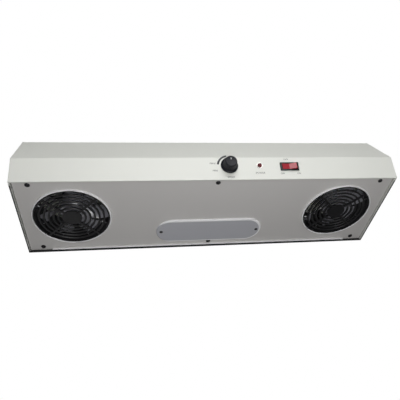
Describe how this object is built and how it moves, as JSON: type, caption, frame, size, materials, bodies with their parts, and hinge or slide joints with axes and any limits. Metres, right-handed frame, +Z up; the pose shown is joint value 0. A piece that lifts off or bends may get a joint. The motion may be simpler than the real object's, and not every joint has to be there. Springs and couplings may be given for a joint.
{
  "type": "overhead ionizing blower",
  "caption": "Long folded sheet-steel blower hung over a bench, with ionizing needles in round fan outlets below and a knob, lamp and rocker on a leaning front.",
  "frame": {"origin": "under the middle of the whole blower, in the plane of the housing's lower rim", "axes": "+X along the length to the right as seen from the front, -Y towards the control face, +Z up"},
  "size_m": [0.6, 0.1901, 0.1127],
  "materials": {
    "cover_paint": "cream-grey satin powder coat",
    "panel_paint": "light grey satin powder coat",
    "access_paint": "light grey satin powder coat",
    "zinc_steel": "zinc plated",
    "rivet_steel": "plain steel",
    "black_steel": "black oxide",
    "dark_steel": "phosphated steel",
    "black_plastic": "matte, moulded",
    "fan_plastic": "matte, moulded",
    "knob_plastic": "matte, moulded",
    "gloss_black": "satin to gloss, moulded",
    "brass": "plain brass",
    "red_plastic": "clear red",
    "copper_winding": "enamelled copper wire on a laminated core",
    "potting": "filled resin",
    "board": "solder-masked laminate",
    "components": "moulded cases",
    "grey_insulation": "soft insulation",
    "red_insulation": "silicone insulation"
  },
  "bodies": {
    "housing": {"housing_cover": "cover_paint", "left_end_plate": "cover_paint", "right_end_plate": "cover_paint", "end_plate_rivets": "rivet_steel", "front_panel_rail": "dark_steel", "rear_panel_rail": "dark_steel", "bottom_panel": "panel_paint", "panel_screws": "black_steel", "access_cover": "access_paint", "access_cover_screws": "black_steel", "access_cover_nuts": "zinc_steel", "left_finger_guard": "black_plastic", "right_finger_guard": "black_plastic", "left_emitter_ring": "black_plastic", "right_emitter_ring": "black_plastic", "left_emitter_needles": "zinc_steel", "right_emitter_needles": "zinc_steel", "left_fan_frame": "fan_plastic", "right_fan_frame": "fan_plastic", "left_fan_stator": "copper_winding", "right_fan_stator": "copper_winding", "left_fan_bearings": "zinc_steel", "right_fan_bearings": "zinc_steel", "fan_studs": "zinc_steel", "fan_nuts": "zinc_steel", "left_intake_grille": "cover_paint", "right_intake_grille": "cover_paint", "intake_grille_screws": "zinc_steel", "intake_grille_nuts": "zinc_steel", "high_voltage_supply": "potting", "supply_screws": "zinc_steel", "left_high_voltage_lead": "red_insulation", "right_high_voltage_lead": "red_insulation", "control_board": "board", "board_components": "components", "board_standoffs": "zinc_steel", "board_screws": "zinc_steel", "left_fan_lead": "grey_insulation", "right_fan_lead": "grey_insulation", "control_leads": "grey_insulation", "speed_potentiometer": "dark_steel", "potentiometer_nut": "zinc_steel", "indicator_bezel": "black_steel", "indicator_lens": "red_plastic", "switch_body": "gloss_black", "switch_terminals": "brass", "power_inlet": "gloss_black", "inlet_pins": "brass", "inlet_screws": "zinc_steel", "mains_lead": "grey_insulation", "hanging_nuts": "zinc_steel", "earth_stud": "brass"},
    "left_fan": {"left_fan_rotor": "black_plastic", "left_rotor_shaft": "zinc_steel"},
    "right_fan": {"right_fan_rotor": "black_plastic", "right_rotor_shaft": "zinc_steel"},
    "speed_control": {"speed_knob": "knob_plastic", "potentiometer_shaft": "zinc_steel"},
    "rocker": {"rocker_button": "red_plastic"}
  },
  "joints": [
    {"name": "left_fan_spin", "type": "hinge", "parent": "housing", "child": "left_fan", "pos_m": [-0.2215, 0.01027, 0.04], "axis": [0, 0, 1], "continuous": true},
    {"name": "right_fan_spin", "type": "hinge", "parent": "housing", "child": "right_fan", "pos_m": [0.2215, 0.01027, 0.04], "axis": [0, 0, 1], "continuous": true},
    {"name": "speed_knob_turn", "type": "hinge", "parent": "housing", "child": "speed_control", "pos_m": [0.0215, -0.07703, 0.02237], "axis": [0, -0.932, -0.3624], "range_deg": [-150, 150]},
    {"name": "rocker_switch_tilt", "type": "hinge", "parent": "housing", "child": "rocker", "pos_m": [0.119, -0.0753, 0.02068], "axis": [0, -0.3624, 0.932], "range_deg": [0, 20]}
  ]
}
